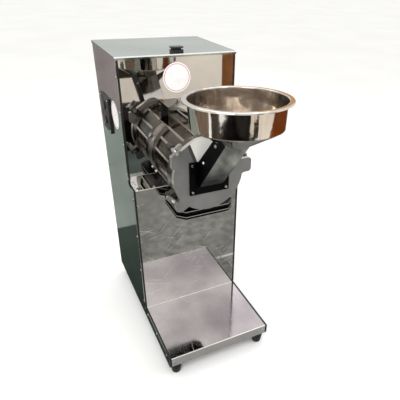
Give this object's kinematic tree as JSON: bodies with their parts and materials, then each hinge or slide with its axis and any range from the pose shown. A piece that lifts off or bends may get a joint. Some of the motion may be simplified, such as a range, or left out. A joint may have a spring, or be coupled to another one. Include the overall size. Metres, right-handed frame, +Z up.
{
  "type": "pulverizer",
  "caption": "Vertical stainless pulverizer: stepped cabinet with inner motor, ribbed grinding chamber, hinged door with feed chute and round hopper, outlet collar over a tray.",
  "frame": {"origin": "on the floor under the middle of the whole outline", "axes": "+Z up, +X to the right of someone facing the machine, the front with hopper and tray towards -Y"},
  "size_m": [0.372, 0.809, 0.947],
  "materials": {
    "polished_stainless": "mirror polished sheet",
    "cast_chamber": "polished casting",
    "door_plate": "satin ground plate",
    "black_powder_coat": "black powder coat",
    "black_rubber": "moulded rubber",
    "black_plastic": "moulded plastic",
    "green_plastic": "moulded plastic",
    "red_plastic": "moulded plastic",
    "zinc_fastener": "bright plated",
    "frame_steel": "grey paint",
    "motor_paint": "enamel",
    "laminated_steel": "laminations",
    "machined_steel": "machined",
    "white_plastic": "moulded plastic"
  },
  "bodies": {
    "cabinet": {"left_side_panel": "polished_stainless", "right_side_panel": "polished_stainless", "back_panel": "polished_stainless", "upper_front_panel": "polished_stainless", "lower_front_panel": "polished_stainless", "base_tray": "polished_stainless", "mount_hood": "polished_stainless", "chamber_body": "cast_chamber", "chamber_liner": "cast_chamber", "outlet_throat": "black_powder_coat", "outlet_collar": "black_powder_coat", "rubber_feet": "black_rubber", "edge_trim": "black_rubber", "shaft_seal": "black_rubber", "switch_box": "black_plastic", "cable_gland": "black_plastic", "cabinet_rivets": "zinc_fastener", "lid_hinge_leaves": "zinc_fastener", "lid_hinge_pins": "zinc_fastener", "motor_bolts": "zinc_fastener", "chamber_bolts": "zinc_fastener", "door_hinge_pin": "zinc_fastener", "clamp_studs": "zinc_fastener", "switch_screws": "zinc_fastener", "base_frame": "frame_steel", "motor_shelf": "frame_steel", "shelf_rails": "frame_steel", "mounting_plate": "frame_steel", "motor_barrel": "motor_paint", "motor_front_shield": "motor_paint", "motor_rear_shield": "motor_paint", "fan_cowl": "motor_paint", "terminal_box": "motor_paint", "stator_core": "laminated_steel", "motor_bearings": "machined_steel", "sieve": "machined_steel", "run_capacitor": "white_plastic"},
    "rotor": {"motor_shaft": "machined_steel", "rotor_core": "laminated_steel", "cooling_fan": "white_plastic", "beater_disc": "machined_steel", "beaters": "machined_steel", "beater_nut": "machined_steel"},
    "door": {"door": "door_plate", "door_gasket": "black_rubber", "inlet_plate": "black_powder_coat", "inlet_plate_screws": "zinc_fastener", "chute_screws": "zinc_fastener", "feed_chute": "polished_stainless", "hopper_bowl": "polished_stainless"},
    "top_clamp": {"top_clamp_dog": "zinc_fastener"},
    "bottom_clamp": {"bottom_clamp_dog": "zinc_fastener"},
    "top_nut": {"top_wing_nut": "zinc_fastener"},
    "bottom_nut": {"bottom_wing_nut": "zinc_fastener"},
    "lid": {"lid": "polished_stainless", "lid_handle": "black_plastic", "lid_handle_screws": "zinc_fastener", "lid_hinge_straps": "zinc_fastener"},
    "start": {"start_button": "green_plastic"},
    "stop": {"stop_button": "red_plastic"}
  },
  "joints": [
    {"name": "shaft_spin", "type": "hinge", "parent": "cabinet", "child": "rotor", "pos_m": [0, 0, 0.645], "axis": [0, 1, 0], "continuous": true},
    {"name": "door_swing", "type": "hinge", "parent": "cabinet", "child": "door", "pos_m": [0.122, -0.1035, 0.657], "axis": [0, 0, 1], "range_deg": [0, 120]},
    {"name": "top_dog_turn", "type": "hinge", "parent": "cabinet", "child": "top_clamp", "pos_m": [-0.09886, -0.1269, 0.73247], "axis": [0, 1, 0], "range_deg": [0, 90]},
    {"name": "bottom_dog_turn", "type": "hinge", "parent": "cabinet", "child": "bottom_clamp", "pos_m": [-0.10979, -0.1269, 0.58954], "axis": [0, 1, 0], "range_deg": [0, 90]},
    {"name": "top_nut_turn", "type": "hinge", "parent": "cabinet", "child": "top_nut", "pos_m": [-0.09886, -0.1269, 0.73247], "axis": [0, 1, 0], "continuous": true},
    {"name": "bottom_nut_turn", "type": "hinge", "parent": "cabinet", "child": "bottom_nut", "pos_m": [-0.10979, -0.1269, 0.58954], "axis": [0, 1, 0], "continuous": true},
    {"name": "lid_lift", "type": "hinge", "parent": "cabinet", "child": "lid", "pos_m": [0, 0.3934, 0.9255], "axis": [-1, 0, 0], "range_deg": [0, 100]},
    {"name": "start_press", "type": "slide", "parent": "cabinet", "child": "start", "axis": [1, 0, 0], "range_m": [0, 0.003], "stiffness_N_per_m": 600},
    {"name": "stop_press", "type": "slide", "parent": "cabinet", "child": "stop", "axis": [1, 0, 0], "range_m": [0, 0.003], "stiffness_N_per_m": 600}
  ]
}
